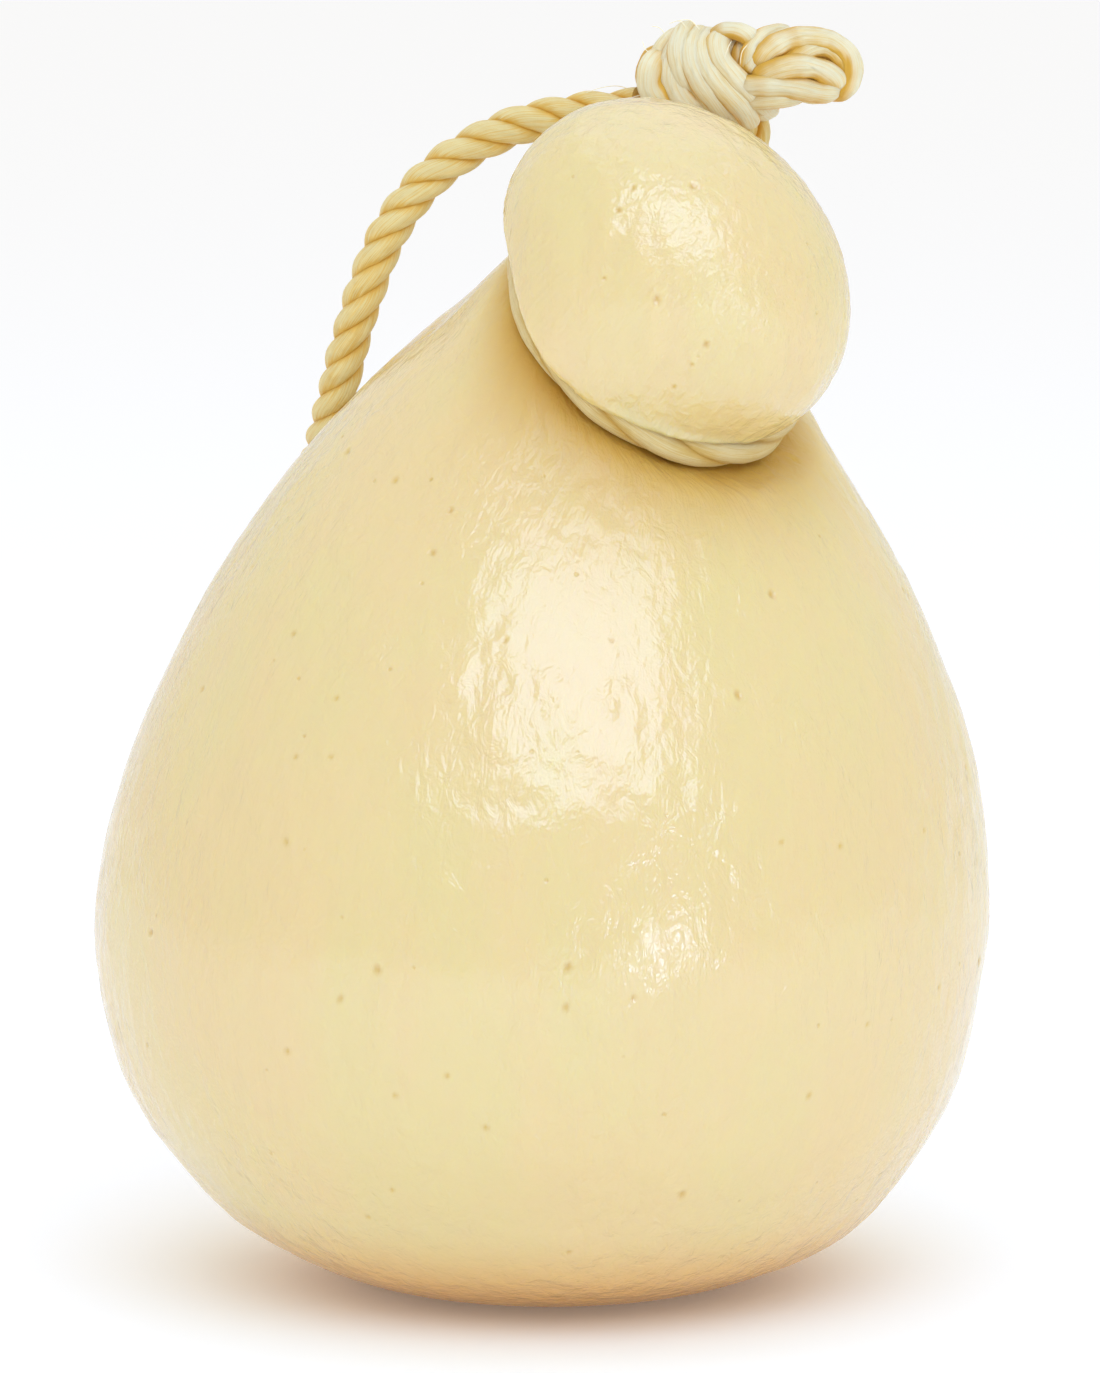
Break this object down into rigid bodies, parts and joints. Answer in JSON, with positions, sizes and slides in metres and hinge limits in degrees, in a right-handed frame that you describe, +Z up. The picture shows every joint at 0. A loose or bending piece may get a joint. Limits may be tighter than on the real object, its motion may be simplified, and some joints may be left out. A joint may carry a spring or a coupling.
{
  "type": "caciocavallo cheese",
  "caption": "Pear-shaped stretched-curd cheese with a ball head leaning forward over the rope tied round its neck, with a knot and a hanging loop",
  "frame": {"origin": "the middle of the small flat spot on the underside that the cheese rests on", "axes": "+Z up along the height, +Y to the back, +X to the right when the side that the head leans to faces the viewer"},
  "size_m": [0.1569, 0.1572, 0.2224],
  "materials": {
    "cheese_rind": "glossy waxy film over pale yellow curd",
    "rope": "natural pale fibre, slightly glossy"
  },
  "bodies": {
    "root": {"cheese": "cheese_rind", "neck_tie": "rope", "knot": "rope", "hanging_loop": "rope"}
  },
  "joints": []
}
